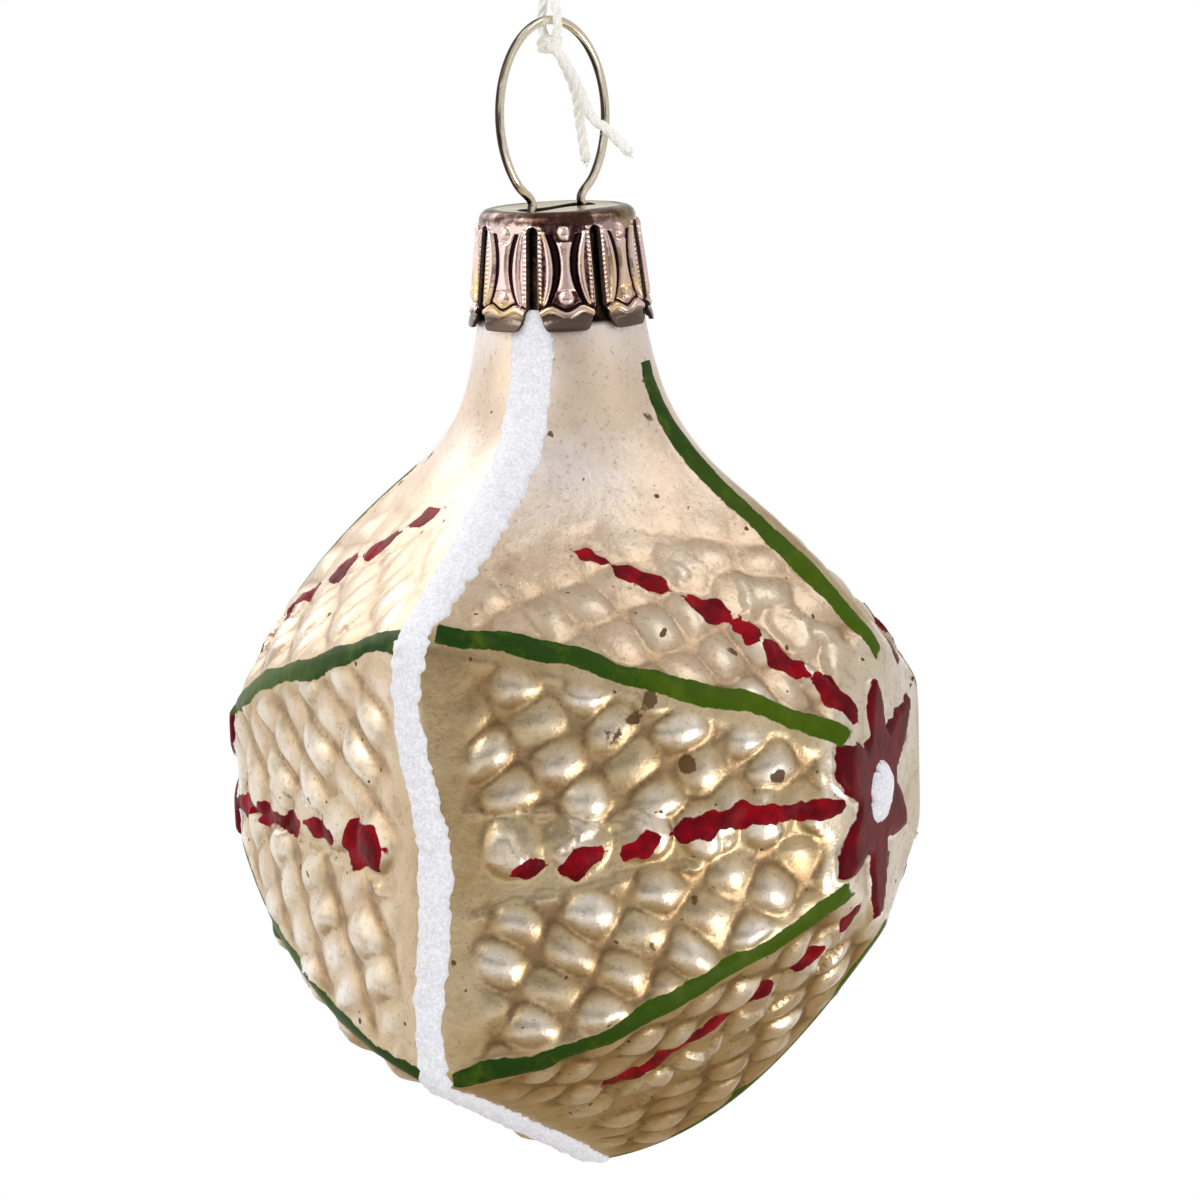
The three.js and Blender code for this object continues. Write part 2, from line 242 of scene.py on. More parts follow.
def smooth_line(points, count):
    """Evenly spaced points along a smooth line through the given ones."""
    p = np.asarray(points, float)
    guides = np.vstack([2 * p[0] - p[1], p, 2 * p[-1] - p[-2]])
    fine = []
    for a, b, c, d in zip(guides, guides[1:], guides[2:], guides[3:]):
        for t in np.linspace(0, 1, 24, endpoint=False):
            fine.append(0.5 * (2 * b + (c - a) * t + (2 * a - 5 * b + 4 * c - d) * t ** 2
                               + (3 * b - a - 3 * c + d) * t ** 3))
    fine = np.array([*fine, p[-1]])
    gone = gone_along(fine)
    want = np.linspace(0, gone[-1], count)
    return np.stack([np.interp(want, gone, fine[:, i]) for i in range(3)], 1)


def frames_along(line, closed=False):
    """Side and upright directions across a line, carried along it without twist."""
    ahead = np.roll(line, -1, 0) - np.roll(line, 1, 0)
    if not closed:
        ahead[0] = line[1] - line[0]
        ahead[-1] = line[-1] - line[-2]
    ahead /= np.linalg.norm(ahead, axis=1)[:, None]
    side = np.cross(ahead[0], (0.31, 0.52, 0.79))
    sides = []
    for a in ahead:
        side = side - a * (side @ a)
        side /= np.linalg.norm(side)
        sides.append(side)
    sides = np.array(sides)
    if closed:
        last = np.cross(ahead[0], sides[0])
        off = atan2(sides[-1] @ last, sides[-1] @ sides[0])
        undo = -off * np.arange(len(line)) / (len(line) - 1)
        up = np.cross(ahead, sides)
        sides = sides * np.cos(undo)[:, None] + up * np.sin(undo)[:, None]
    return sides, np.cross(ahead, sides)


def tube(line, radius, sides, closed=False):
    """Points and faces of a round rod along a line, its ends rounded over."""
    line = np.asarray(line, float)
    across, up = frames_along(line, closed)
    count = len(line)
    radius = np.broadcast_to(np.asarray(radius, float), (count,))
    turn = np.arange(sides) * 2 * pi / sides
    c, s = [share[None, :, None] * radius[:, None, None] for share in (np.cos(turn), np.sin(turn))]
    points = (line[:, None] + across[:, None] * c + up[:, None] * s).reshape(-1, 3)
    faces = (grid_faces(count + closed, sides) % len(points)).tolist()
    if not closed:
        for end, before in ((0, 1), (count - 1, count - 2)):
            way = line[end] - line[before]
            points = np.vstack([points, line[end] + way / np.linalg.norm(way) * radius[end] * 0.4])
            for k in range(sides):
                edge = (end * sides + k, end * sides + (k + 1) % sides)
                faces.append((*(edge if end else edge[::-1]), len(points) - 1))
    return points, faces


def joined(parts):
    """One list of points and faces from several tubes."""
    points, faces = [], []
    for p, f in parts:
        shift = sum(map(len, points))
        points.append(p)
        faces += [tuple(i + shift for i in face) for face in f]
    return np.vstack(points), faces


# Glass: a skin found where a field is zero

def neck_radius(z):
    t = np.linspace(0, 1, 40)
    (r0, z0), (r1, z1), (r2, z2) = FLARE
    radii = r0 * (1 - t) ** 2 + 2 * r1 * t * (1 - t) + r2 * t ** 2
    heights = z0 * (1 - t) ** 2 + 2 * z1 * t * (1 - t) + z2 * t ** 2
    return np.interp(z, [*heights, NECK_TOP], [*radii, NECK_RIM])


def bow(share, angle):
    foot = FOOT_BOW * np.sin(angle) * 27 / 4 * share * (1 - share) ** 2
    return FACE_BOW * 4 * share * (1 - share) - foot


def plain_field(x, y, z, offset=0.0):
    """Distance out of the glass without its quilting, mm."""
    r = np.hypot(x, z)
    angle = np.arctan2(z, x)
    near = np.rint(angle / SIXTH)
    walls = []
    for k in (-1, 0, 1):
        flat = r * np.cos(angle - (near + k) * SIXTH)
        for side in (-1, 1):
            depth = side * y
            share = np.clip(((SEAM_FLAT - flat) * DEEP + depth * ACROSS) / SLOPE, 0, 1)
            walls.append((flat - SEAM_FLAT) * ACROSS + depth * DEEP - bow(share, angle))
    walls += [y - BOSS_DEPTH, -y - BOSS_DEPTH]
    soft = 0.28
    star = soft * np.logaddexp.reduce(np.array(walls) / soft, axis=0) - 0.1
    neck = np.maximum((np.hypot(x, y) - neck_radius(z)) * 0.93, 12 - z)
    reach = 2.4
    blend = np.clip(reach - np.abs(star - neck), 0, None) / reach
    return np.minimum(star, neck) - blend * blend * reach / 4 - offset


def nearest_ridge(angle):
    return np.rint((angle - SIXTH / 2) / SIXTH) * SIXTH + SIXTH / 2


def face_place(x, y, z):
    """Which face and half a point is on, its place across u and up v, and its distance from the axis."""
    angle = np.arctan2(z, x)
    face = np.mod(np.rint(angle / SIXTH), 6)
    turn = face * SIXTH
    flat = x * np.cos(turn) + z * np.sin(turn)
    u = x * np.sin(turn) - z * np.cos(turn)
    v = (SEAM_FLAT - flat) * DEEP + np.abs(y) * ACROSS
    return face, np.where(y < 0, FRONT, BACK), u, v, flat


def from_edge(flat, u):
    return flat * tan(pi / 6) - np.abs(u)


def quilt(x, y, z):
    """Height of the quilted bumps in mm, and how much of a groove each place is, from 0 to 1."""
    face, half, u, v, flat = face_place(x, y, z)
    seed = face * 2.1 + half * 5.3  # the rows wander in a way of their own on each face
    u = u + 0.16 * np.sin(0.8 * v + 2.1 * seed) + 0.12 * np.sin(1.1 * u - 0.6 * v + seed)
    v = v + 0.2 * np.sin(0.7 * u + 1.7 * seed) + 0.12 * np.sin(0.9 * v + 1.3 * u + seed)
    sizes = (ROW_PITCH, ROW_LEAN, FIRST_ROW, BUMP_PITCH, FIRST_SIDE, SIDE_SHIFT)
    pitch, lean, first, along, start, shift = [np.where(half == FRONT, *pair) for pair in sizes]
    away = np.abs(u)
    w = (v + lean * away - first) / pitch
    q = (away - start + shift * w) / along
    m = (v - FIRST_DOME) / DOME_PITCH
    centre = np.hypot((u - DOME_OFFSET) / 1.75, (m - np.rint(m)) * DOME_PITCH / 1.8)
    dome = BUMP * 1.1 * round_top(centre) * (m > -0.5)
    row_off, along_off = w - np.rint(w), q - w - np.rint(q - w)
    lens = np.sqrt(np.clip(1 - (2.0 * along_off) ** 2 - (2.1 * row_off) ** 2, 0, 1))
    over, beside = np.abs(np.cos(pi * along_off)), np.abs(np.cos(pi * row_off))
    pillow = 0.75 * over * beside + 0.25 * lens
    across, ahead = np.where(u > 0, over, beside), np.where(u > 0, beside, over)
    rope = across * (0.35 + 0.65 * ahead)
    quilted = (q > -0.6) & (away > 1.1)
    side = BUMP * np.where(half == FRONT, 1.05 * pillow, 1.35 * rope) * quilted
    uneven = 0.82 + 0.3 * np.sin(3.1 * np.rint(w) + 1.9 * np.rint(q - w) + seed)
    rise = np.maximum(side, dome) * np.clip(uneven, 0.5, 1.15)
    filled = np.where(half == FRONT, over * beside, across * (0.4 + 0.6 * ahead))
    groove = np.clip(1 - filled / GROOVE, 0, 1) * quilted * (dome < 0.05)
    share = step_between(*QUILT_EDGE, from_edge(flat, u)) * step_between(*QUILT_FOOT, v)
    share = share * (1 - step_between(*QUILT_END, v))
    share = share * np.interp(z, (8, 14.5, 18), (1, 0.5, 0)) * np.where(np.isin(face, UPPER_FACES), 0.85, 1)
    return (rise - 0.2) * share, groove * share


def petal_mark(x, y, z):
    """How far inside a petal a point is, mm, for the flower on each boss."""
    x, z = x - FLOWER[0], z - FLOWER[1]
    r = np.hypot(x, z)
    angle = np.arctan2(z, x)
    corner = nearest_ridge(angle)
    length = PETAL_LENGTH + 0.7 * np.sin(2.6 * corner)
    along = np.clip((r * np.cos(angle - corner) - PETAL_START) / length, 0.001, 0.999)
    wide = PETAL_HALF * np.sin(pi * along ** 0.8) ** 0.6
    mark = wide - np.abs(r * np.sin(angle - corner))
    on_boss = np.abs(y) - (BOSS_DEPTH - 0.45)
    return np.minimum(np.maximum(mark, FLOWER_HEART - r), on_boss)


def glass_field(x, y, z):
    petals = PETAL_RISE * step_between(-0.25, 0.35, petal_mark(x, y, z))
    return plain_field(x, y, z) - quilt(x, y, z)[0] - petals


def skin(low, high, step, field):
    """A mesh of four-sided faces over the zero surface of a field."""
    axes = [np.arange(a, b + step, step) for a, b in zip(low, high)]
    grid = np.meshgrid(*axes, indexing="ij")
    value = np.concatenate([field(*(g[i:i + 8] for g in grid)) for i in range(0, len(axes[0]), 8)])
    inside = value < 0
    nx, ny, nz = inside.shape
    count = sum(inside[i:nx - 1 + i, j:ny - 1 + j, k:nz - 1 + k].astype(np.int8)
                for i in (0, 1) for j in (0, 1) for k in (0, 1))
    mixed = (count > 0) & (count < 8)
    number = -np.ones(mixed.shape, np.int64)
    cells = np.argwhere(mixed)
    number[mixed] = np.arange(len(cells))
    total, hits = np.zeros((len(cells), 3)), np.zeros(len(cells))
    unit = np.eye(3, dtype=int)
    for axis, ahead in enumerate(unit):
        for i in (0, 1):
            for j in (0, 1):
                corner = np.insert([i, j], axis, 0)
                a = cells + corner
                b = a + ahead
                fa, fb = value[tuple(a.T)], value[tuple(b.T)]
                cross = (fa < 0) != (fb < 0)
                t = np.where(cross, fa / np.where(cross, fa - fb, 1), 0)
                total += np.where(cross[:, None], a + t[:, None] * ahead, 0)
                hits += cross
    points = np.array(low) + total / hits[:, None] * step
    faces = []
    for axis, ahead in enumerate(unit):
        one, two = unit[(axis + 1) % 3], unit[(axis + 2) % 3]
        here = inside[:nx - ahead[0], :ny - ahead[1], :nz - ahead[2]]
        there = inside[ahead[0]:, ahead[1]:, ahead[2]:]
        edges = np.argwhere(here != there)
        keep = np.all((edges - one - two >= 0) & (edges < np.array(mixed.shape)), axis=1)
        edges = edges[keep]
        out = here[tuple(edges.T)]
        quad = np.stack([number[tuple((edges - one * i - two * j).T)]
                         for i, j in ((1, 1), (0, 1), (0, 0), (1, 0))], 1)
        faces.append(np.where(out[:, None], quad, quad[:, ::-1]))
    return points, np.vstack(faces)


def gradient(points, field, gap=0.02):
    return np.stack([(field(*(points + d).T) - field(*(points - d).T)) / (2 * gap)
                     for d in np.eye(3) * gap], 1)


def settled(points, field, rounds=4):
    """Points moved onto the zero surface of a field."""
    for _ in range(rounds):
        g = gradient(points, field)
        value = field(*points.T)
        move = value / np.maximum((g * g).sum(1), 0.2)
        points = points - g * np.clip(move, -0.4, 0.4)[:, None]
    return points


# Painted marks, as distances inside their outlines in mm

def mark_of(points, start, stop, middle, lean, wide, face, half):
    """A dash of paint that runs up a face."""
    x, y, z = points.T
    own_face, own_half, u, v, _ = face_place(x, y, z)
    t = np.clip((v - start) / (stop - start), 0, 1)
    off = np.abs(u - middle - lean * (t - 0.5))
    mark = wide * (round_top(2 * t - 1) ** 0.8 + 0.18 * np.sin(9 * t + middle * 7)) - off
    mark = np.minimum(mark, np.minimum(v - start, stop - v) + 0.4)
    return np.where((own_face == face) & (own_half == half), mark, NO_PAINT)


# Face, half, then each dash: from v, to v, place u, lean of u, half width
DASHES = {
    (3, FRONT): [(4.4, 6.8, -0.5, 0.4, 0.55), (7.2, 9.9, -0.3, 0.9, 0.9), (10.9, 13.3, 0.3, 0.8, 0.8),
                 (14.2, 17.0, 1.0, 0.4, 0.8), (16.8, 19.4, 1.3, 0.2, 0.85), (18.4, 25.4, 1.0, -0.4, 0.6)],
    (2, FRONT): [(6.0, 7.9, -2.0, 0.3, 0.5), (8.4, 11.8, -1.8, 0.5, 0.75), (13.0, 15.9, -1.5, 0.4, 0.9),
                 (16.1, 17.9, -1.6, -0.2, 0.9), (17.9, 21.1, -2.0, -0.3, 0.85),
                 (21.6, 25.4, -2.0, -0.3, 0.9)],
    (4, FRONT): [(6.6, 9.2, 3.7, -0.2, 0.85), (8.8, 15.4, 3.5, -0.5, 0.7), (16.0, 18.4, 3.0, -0.4, 0.85),
                 (19.6, 21.9, 2.2, -0.3, 0.85), (23.2, 24.9, 1.6, -0.1, 0.75)],
    (3, BACK): [(3.4, 7.4, 0.1, -0.5, 1.5), (8.4, 11.6, 0.1, 0.2, 0.6), (12.4, 15.6, -0.3, -0.5, 0.7),
                (15.4, 19.6, -0.6, -0.4, 0.7), (19.4, 25.4, -1.2, -1.0, 0.6)],
}


def dashes_for(face, half):
    """Dashes of a face, the ones that the photograph doesn't show laid out in the same way."""
    if (face, half) in DASHES:
        return DASHES[face, half]
    rng = np.random.default_rng(40 + face * 2 + half)
    made, v = [], 4.6 + rng.uniform(-0.4, 0.6)
    while v < 24:
        long = rng.uniform(2.3, 3.4)
        made.append((v, min(v + long, DASH_TOP), rng.uniform(-0.9, 0.9), rng.uniform(-0.5, 0.5),
                     rng.uniform(0.6, 0.95)))
        v += long + rng.uniform(0.4, 1.1)
    return made


def red_marks(points):
    best = petal_mark(*points.T)
    for face in range(6):
        for half in (FRONT, BACK):
            for dash in dashes_for(face, half):
                best = np.maximum(best, mark_of(points, *dash, face, half))
    rag = (lumps(points, 0.7, 3) - 0.5) * 0.42 + (lumps(points, 0.35, 4) - 0.5) * 0.2
    return np.where(points[:, 2] < PAINT_TOP, best + rag, NO_PAINT)


# The line on the front top ridge runs off the ridge and up the neck: mm across, at heights in mm
NECK_LINE_HEIGHTS = (8, 12, 16, 20, 26)
NECK_LINE_OFFSETS = (-0.8, -1.3, -1.4, -1.0, -0.3)


def green_marks(points):
    """Lines of paint along the ridges, from the frosting to the boss."""
    x, y, z = points.T
    r = np.hypot(x, z)
    angle = np.arctan2(z, x)
    ridge = nearest_ridge(angle)
    number = np.mod(np.rint((ridge - SIXTH / 2) / SIXTH), 6) + 6 * (y > 0)
    depth = np.abs(y)
    sway = 0.22 * np.sin(0.55 * depth + 2.3 * number) + 0.1 * np.sin(1.6 * depth + number)
    sway = np.where(number == 1, np.interp(z, NECK_LINE_HEIGHTS, NECK_LINE_OFFSETS), sway)
    sway = sway + np.where(number == 2, np.interp(depth, (14, 19), (0.65, 0.3)), 0)
    off = np.abs(r * np.sin(angle - ridge) + sway)
    wide = LINE_HALF + 0.08 * np.sin(0.8 * depth + 1.7 * number)
    mark = np.minimum(wide - off, np.minimum(depth - LINE_ENDS[0], LINE_ENDS[1] - depth))
    mark = mark + (lumps(points, 0.9, 5) - 0.5) * 0.16
    top = np.where(number == 1, NECK_LINE_HEIGHTS[-1] - 0.2, 19.0)
    return np.where((z < top) & (r > 6), mark, NO_PAINT)


# Blotches where the lacquer has browned: place from the star's centre and reach, mm
AGE_SPOTS = ((-17.0, -10.7, 7.8, 1.0), (-17.6, -9.5, 6.7, 1.0), (-16.1, -11.1, 8.7, 0.9),
             (-11.4, -17.1, 3.3, 0.7), (-17.1, -11.7, -5.8, 0.9), (-15.3, -13.3, -3.3, 0.6),
             (-15.0, -12.9, 4.6, 0.8), (-10.1, -14.2, 10.3, 0.6), (-1.7, 8.2, 19.4, 1.0),
             (-2.0, -6.1, 22.5, 0.7), (3.9, -20.3, 2.2, 0.9), (-0.4, -20.2, -4.7, 1.0),
             (2.6, -20.3, -1.6, 0.8))


def glass_piece():
    low, high, step = (-27.6, -21.3, -27.6), (27.6, 21.3, 35.6), 0.3
    points, faces = skin(low, high, step, plain_field)
    points = settled(points, glass_field)
    red, green = red_marks(points), green_marks(points)
    relief, groove = quilt(*points.T)
    paint = PAINT * step_between(-0.1, 0.15, np.maximum(red, green)) * (points[:, 2] < PAINT_TOP)
    way = gradient(points, glass_field)
    way /= np.maximum(np.linalg.norm(way, axis=1), 1e-6)[:, None]
    points = points + way * paint[:, None]
    obj = piece("glass_shell", points, faces, "star", ["glass_body"])
    face, half, u, _, flat = face_place(*points.T)
    # painted light: the upper faces and the back half are made paler, away from their edges
    pale = np.where(np.isin(face, UPPER_FACES), 1, np.where(half == BACK, 0.6, 0))
    age = [1 - np.linalg.norm(points - (x, y, z), axis=1) / size for x, y, z, size in AGE_SPOTS]
    measure(obj, red_paint=red, green_paint=green, bump_height=relief / BUMP, groove=groove,
            pale=step_between(0, 2.5, from_edge(flat, u)) * pale, depth=np.abs(points[:, 1]),
            age=np.clip(np.max(age, axis=0), 0, 1))
    open_neck(obj)
    return obj


def open_neck(obj):
    """Cuts the neck open and gives it its rim and the inside of the blown glass."""
    bm = bmesh.new()
    bm.from_mesh(obj.data)
    level = height(NECK_TOP)

    def cut(geom):
        bmesh.ops.bisect_plane(bm, geom=geom, plane_co=(0, 0, level), plane_no=(0, 0, 1), clear_outer=True)

    def inner_field(x, y, z):
        return plain_field(x, y, z, -GLASS_WALL)

    cut(bm.verts[:] + bm.edges[:] + bm.faces[:])
    points, faces = skin((-26.4, -20.4, -26.4), (26.4, 20.4, 35.6), 1.2, inner_field)
    inner = [bm.verts.new(p) for p in row(settled(points, inner_field, 2))]
    made = [bm.faces.new([inner[i] for i in reversed(f)]) for f in faces]
    for f in made:
        f.smooth = True
    corners = dict.fromkeys(v for f in made for v in f.verts)
    edges = dict.fromkeys(e for f in made for e in f.edges)
    cut([*corners, *edges, *made])
    rim = [e for e in bm.edges if e.is_boundary and all(abs(v.co.z - level) < 1e-6 for v in e.verts)]
    bmesh.ops.bridge_loops(bm, edges=rim)
    bm.to_mesh(obj.data)
    bm.free()
    obj.data.update()


glass = glass_piece()


# Frosting: a granular stripe along the seam and a spot on each boss

def seam_line():
    """The outline of the glass at its seam, from the left of the neck round the foot."""
    neck = [(5.6, 22), (5.0, 25), (4.6, 27.6)]
    star = [(SEAM_CORNER * cos(a), SEAM_CORNER * sin(a))
            for a in np.radians([150, 210, 270, 330, 390])]
    flat = np.array([(-4.4, 29.2)] + [(-x, z) for x, z in reversed(neck)] + star + neck)
    gone = gone_along(flat)
    want = np.linspace(0, gone[-1], 640)
    return np.stack([np.interp(want, gone, flat[:, 0]), 0 * want, np.interp(want, gone, flat[:, 1])], 1)


# How the stripe sways off the seam and how wide it is, mm, at places along it from the neck's left
STRIPE_ALONG = (1.6, 9.1, 14.1, 19, 23.6, 27, 30.5, 33.9, 36.2, 39, 42, 44.9, 48, 50.3, 52.8)
STRIPE_SWAY = (-0.15, -0.25, -0.45, -0.3, 0.15, 0.6, 1.15, 0.65, 0.1, -0.4, -0.25, -0.05, 0.45, 0.5, 0.3)
STRIPE_HALF = (1.3, 1.4, 1.25, 1.15, 1.1, 1.15, 1.05, 1.0, 1.0, 0.9, 1.0, 1.1, 1.1, 0.9, 0.95)


def frost_piece():
    rows = np.linspace(-1, 1, 15)
    base = seam_line()
    gone = gone_along(base)
    ends = (*STRIPE_ALONG, 60, gone[-1])
    wide = np.interp(gone, ends, (*STRIPE_HALF, 1.25, 1.15)) + 0.3 * (lumps(base, 0.8, 12) - 0.5)
    wide = wide + 0.36 * (lumps(base, 0.33, 15) - 0.5)
    sway = np.interp(gone, ends, (*STRIPE_SWAY, 0, 0)) + 0.12 * (lumps(base, 1.6, 14) - 0.5)
    sway = sway + step_between(60, 75, gone) * 0.9 * (lumps(base, 9.0, 14) - 0.5)
    outer, inner = [], []
    for share in rows:
        p = base.copy()
        p[:, 1] = share * wide + sway
        for _ in range(6):
            g = gradient(p, plain_field)
            g[:, 1] = 0
            p = p - g * (plain_field(*p.T) / np.maximum((g * g).sum(1), 0.3))[:, None]
        way = gradient(p, plain_field)
        way /= np.linalg.norm(way, axis=1)[:, None]
        crown = round_top(share)
        rough = 0.30 * (lumps(p, 0.42, 21) - 0.4) + 0.16 * (lumps(p, 0.23, 22) - 0.5)
        tall = 0.02 + crown * (0.26 + rough)
        tall = np.where(p[:, 2] > 27.4, np.minimum(tall, 0.16), tall)
        outer.append(p + way * np.clip(tall, 0.02, 0.5)[:, None])
        inner.append(p - way * 0.06)
    sheets = np.array(outer + inner[::-1])
    loop = len(sheets)
    points = sheets.transpose(1, 0, 2).reshape(-1, 3)
    ends = [range(loop), range(len(points) - 1, len(points) - 1 - loop, -1)]
    faces = [*grid_faces(len(base), loop, flipped=True), *ends]
    return piece("frost_stripe", points, faces, "star", ["frost_band"])


def frost_spot(name, side):
    rings, spokes, radius = 22, 72, 1.95
    points = [(0, 0, 0)]
    for i in range(1, rings + 1):
        for k in range(spokes):
            a = k * 2 * pi / spokes
            ragged = 1 + 0.08 * sin(5 * a + 1) + 0.06 * sin(13 * a + 2) + 0.05 * sin(29 * a)
            r = radius * i / rings * ragged
            points.append((r * cos(a), 0, r * sin(a)))
    points = np.array(points)
    share = np.hypot(points[:, 0], points[:, 2]) / radius
    rough = 0.32 * (lumps(points, 0.42, 31) - 0.4) + 0.2 * (lumps(points, 0.24, 32) - 0.5)
    rise = round_top(share) * (0.8 + rough)
    points[:, 1] = side * (BOSS_DEPTH + 0.28 + np.clip(rise, 0.0, 0.85))
    points += (FLOWER[0], 0, FLOWER[1])
    rim = len(points)
    points = np.vstack([points, points[-spokes:] * (1, 0, 1) + (0, side * (BOSS_DEPTH - 0.1), 0)])
    middle = [(0, 1 + (k + 1) % spokes, 1 + k) for k in range(spokes)]
    faces = [*middle, *grid_faces(rings + 1, spokes, 1), range(rim, rim + spokes)]
    if side > 0:
        faces = [f[::-1] for f in faces]
    return piece(name, points, faces, "star")


frost = frost_piece()
spots = [frost_spot("frost_spot_front", -1), frost_spot("frost_spot_back", 1)]


# Crown cap: eight pressed tabs under a round top

def skirt_radius(h):
    turn_in = CAP_HEIGHT - CAP_SHOULDER
    shoulder = CAP_TOP_R - CAP_SHOULDER + np.sqrt(np.clip(CAP_SHOULDER ** 2 - (h - turn_in) ** 2, 0, None))
    plain = np.interp(h, (0, LOBE_HEIGHT, turn_in), (CAP_FOOT_R, CAP_WAIST_R, CAP_TOP_R))
    return np.where(h > turn_in, shoulder, plain)


# Pressed pattern of a tab, mm up from its foot
RIB_MIDDLE, RIB_REACH = 3.7, 2.15
PILLAR_MIDDLE = 3.9
DROP, LOW_DROP = 5.78, 1.98
BEAD_STEP = 0.27


def embossing(x, h):
    """Height of the pressed pattern on a tab, from 0 to 1: x is across from its middle, h is up."""
    x = np.abs(x)
    along = np.clip((h - RIB_MIDDLE) / RIB_REACH, -1, 1)
    bend = 0.86 + 0.34 * along ** 2
    rib = round_top((x - bend) / (0.06 + 0.15 * round_top(along))) * (np.abs(along) < 1)
    waist = 0.27 + 0.25 * ((h - PILLAR_MIDDLE) / 1.5) ** 2
    pillar = round_top(x / waist) * step_between(2.3, 2.5, h) * (1 - step_between(5.15, 5.3, h))
    bead = round_top(np.hypot((x - 1.36) / 0.09, (np.mod(h, BEAD_STEP) - BEAD_STEP / 2) / 0.11))
    bead = bead * ((h > 1.6) & (h < CAP_GAP_TOP))
    rail = step_between(1.45, 1.49, x) * ((h > 1.2) & (h < CAP_GAP_TOP))
    drop = round_top(np.hypot(x / 0.36, (h - DROP) / 0.42))
    low_drop = round_top(np.hypot(x / 0.4, (h - LOW_DROP) / 0.42))
    bow = 1.25 + 0.36 * np.sin(pi * x / 1.7) ** 2
    brace = 0.7 * round_top((h - bow + 0.28) / 0.24) * (x < 1.5)
    lip = 0.5 * round_top(np.hypot(x / 1.5, (h - 0.25) / 0.5))
    inner_edge, outer_edge = waist + 0.02, bend - 0.06 - 0.12 * round_top(along)
    wide = np.maximum((outer_edge - inner_edge) / 2, 0.02)
    recess = -0.7 * round_top((x - (inner_edge + outer_edge) / 2) / wide) * (np.abs(along) < 0.95)
    crease = -0.5 * np.exp(-((h - bow) / 0.1) ** 2) * (x < 1.55)
    raised = [rib, 0.85 * pillar, 0.6 * bead, 0.4 * rail, drop, low_drop, brace, lip]
    return np.max(raised, axis=0) + crease + recess


def gap_half(h):
    """Half the gap between two tabs, which widens between their rounded feet."""
    top = CAP_GAP_TOP - TAB_GAP / 2
    narrow = np.sqrt(np.clip((TAB_GAP / 2) ** 2 - np.clip(h - top, 0, None) ** 2, 0, None))
    foot = (LOBE_GAP - TAB_GAP) / 2 * (1 - np.sqrt(np.clip(h / LOBE_HEIGHT, 0, 1)))
    return narrow + foot


def cap_tab(columns, heights):
    """Points of one pressed tab with how raised and how far from its edge each is."""
    sunk, deep, drawn_half = 0.12, 0.24, 1.83
    h = np.repeat(heights, columns + 1)
    radius = skirt_radius(h)
    half = pi / TABS * radius - gap_half(h)
    x = np.tile(np.linspace(-1, 1, columns + 1), len(heights)) * half
    raised = embossing(x * drawn_half / (pi / TABS * radius), h)
    r = radius - sunk + deep * raised
    angle = x / radius + TAB_TURN
    points = np.stack([r * np.cos(angle), r * np.sin(angle), CAP_FOOT + h], 1)
    return points, raised, np.where(h < CAP_GAP_TOP, half - np.abs(x), 0.0)


def cap_top(angles, rings):
    """Points of the disc on top, from its rim in to the slot for the wire."""
    (long, wide), top = WIRE_SLOT, CAP_FOOT + CAP_HEIGHT
    rim = float(skirt_radius(CAP_HEIGHT - 0.001)) - 0.12
    far = rim * np.stack([np.cos(angles), np.sin(angles)], 1)
    bend = (long - wide) / 2
    spot = np.stack([np.clip(far[:, 0] * 0.62, -bend, bend), 0 * angles], 1)
    near = spot + (far - spot) / np.linalg.norm(far - spot, axis=1)[:, None] * wide / 2
    points = []
    for t in np.linspace(0, 1, rings + 1):
        p = far * (1 - t) + near * t
        dent = -0.05 * step_between(0, 0.6, t) + 0.04 * np.sin(3 * angles) * (t > 0)
        points.append(np.column_stack([p, top + dent]))
    return np.vstack(points)


def cap_piece():
    columns, rings = 52, 12
    heights = np.r_[np.linspace(CAP_HEIGHT - 0.001, CAP_GAP_TOP, 14), np.linspace(CAP_GAP_TOP, 0, 88)[1:]]
    rows, width = len(heights), columns + 1
    tab, raised, edge = cap_tab(columns, heights)
    turns = np.arange(TABS) * 2 * pi / TABS
    c, s = np.cos(turns)[:, None], np.sin(turns)[:, None]
    skirt = np.stack([tab[:, 0] * c - tab[:, 1] * s, tab[:, 0] * s + tab[:, 1] * c, tab[:, 2] + 0 * c], -1)
    faces = [grid_faces(rows, width, k * rows * width, around=False, flipped=True) for k in range(TABS)]
    spread = np.linspace(-1, 1, columns, endpoint=False) * pi / TABS
    angles = (turns[:, None] + spread + TAB_TURN).ravel()
    disc, count = cap_top(angles, rings), len(angles)
    faces.append(grid_faces(rings + 1, count, TABS * rows * width))
    inward = np.repeat(np.linspace(0, 1, rings + 1), count)
    obj = piece("crown_cap", turned(np.vstack([skirt.reshape(-1, 3), disc])), np.vstack(faces),
                "crown", ["cap"])
    measure(obj, relief=np.r_[np.tile(raised, TABS), 1 - 0.3 * inward],
            tarnish=np.r_[np.repeat(TAB_RECESS_SHADE, rows * width), 0 * inward],
            to_edge=np.r_[np.tile(edge, TABS), np.minimum(inward * 2, 1)])
    bm = bmesh.new()
    bm.from_mesh(obj.data)
    bmesh.ops.remove_doubles(bm, verts=bm.verts, dist=0.02 * MM)
    bmesh.ops.recalc_face_normals(bm, faces=bm.faces)
    bm.to_mesh(obj.data)
    bm.free()
    sheet = obj.modifiers.new("sheet", "SOLIDIFY")
    sheet.thickness = CAP_SHEET * MM
    sheet.offset = -1
    sheet.material_offset = 1
    sheet.material_offset_rim = 1
    return obj


cap = cap_piece()


# Wire loop, sprung into the neck

